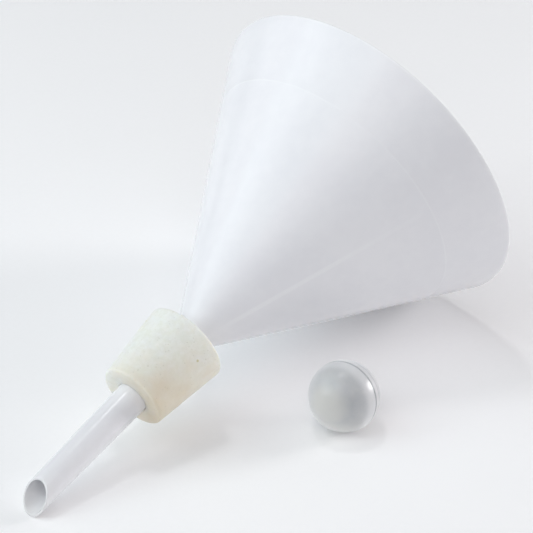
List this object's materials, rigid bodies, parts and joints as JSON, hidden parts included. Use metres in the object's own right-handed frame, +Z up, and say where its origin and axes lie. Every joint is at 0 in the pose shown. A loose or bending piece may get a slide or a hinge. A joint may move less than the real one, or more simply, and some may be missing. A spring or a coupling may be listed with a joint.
{
  "type": "stoppered funnel with float ball",
  "caption": "Large conical plastic funnel lying on its side, with a slant-cut stem, a tapered silicone stopper on the stem and a loose hollow float ball.",
  "frame": {"origin": "on the table surface, under the middle of the bounding box of the whole set as it lies", "axes": "+Z up from the table; the funnel's axis lies in the XZ plane and climbs from its stem's tip at -X to its mouth at +X; the float ball lies on the -Y side"},
  "size_m": [0.2774, 0.18, 0.1718],
  "materials": {
    "white_polyethylene": "smooth moulded polyethylene, satin",
    "silicone_rubber": "milky unpigmented silicone rubber, matt with a faint mottle",
    "float_plastic": "thin translucent natural polypropylene, glossy"
  },
  "bodies": {
    "stopper": {"stopper": "silicone_rubber"},
    "funnel": {"funnel_body": "white_polyethylene"},
    "float_ball": {"ball_front_shell": "float_plastic", "ball_rear_shell": "float_plastic"}
  },
  "joints": [
    {"name": "stem_slide", "type": "slide", "parent": "stopper", "child": "funnel", "axis": [0.9542, 0, 0.299], "range_m": [0, 0.13]},
    {"name": "float_ball_lift", "type": "slide", "parent": "stopper", "child": "float_ball", "axis": [0, 0, 1], "range_m": [0, 0.19]}
  ]
}
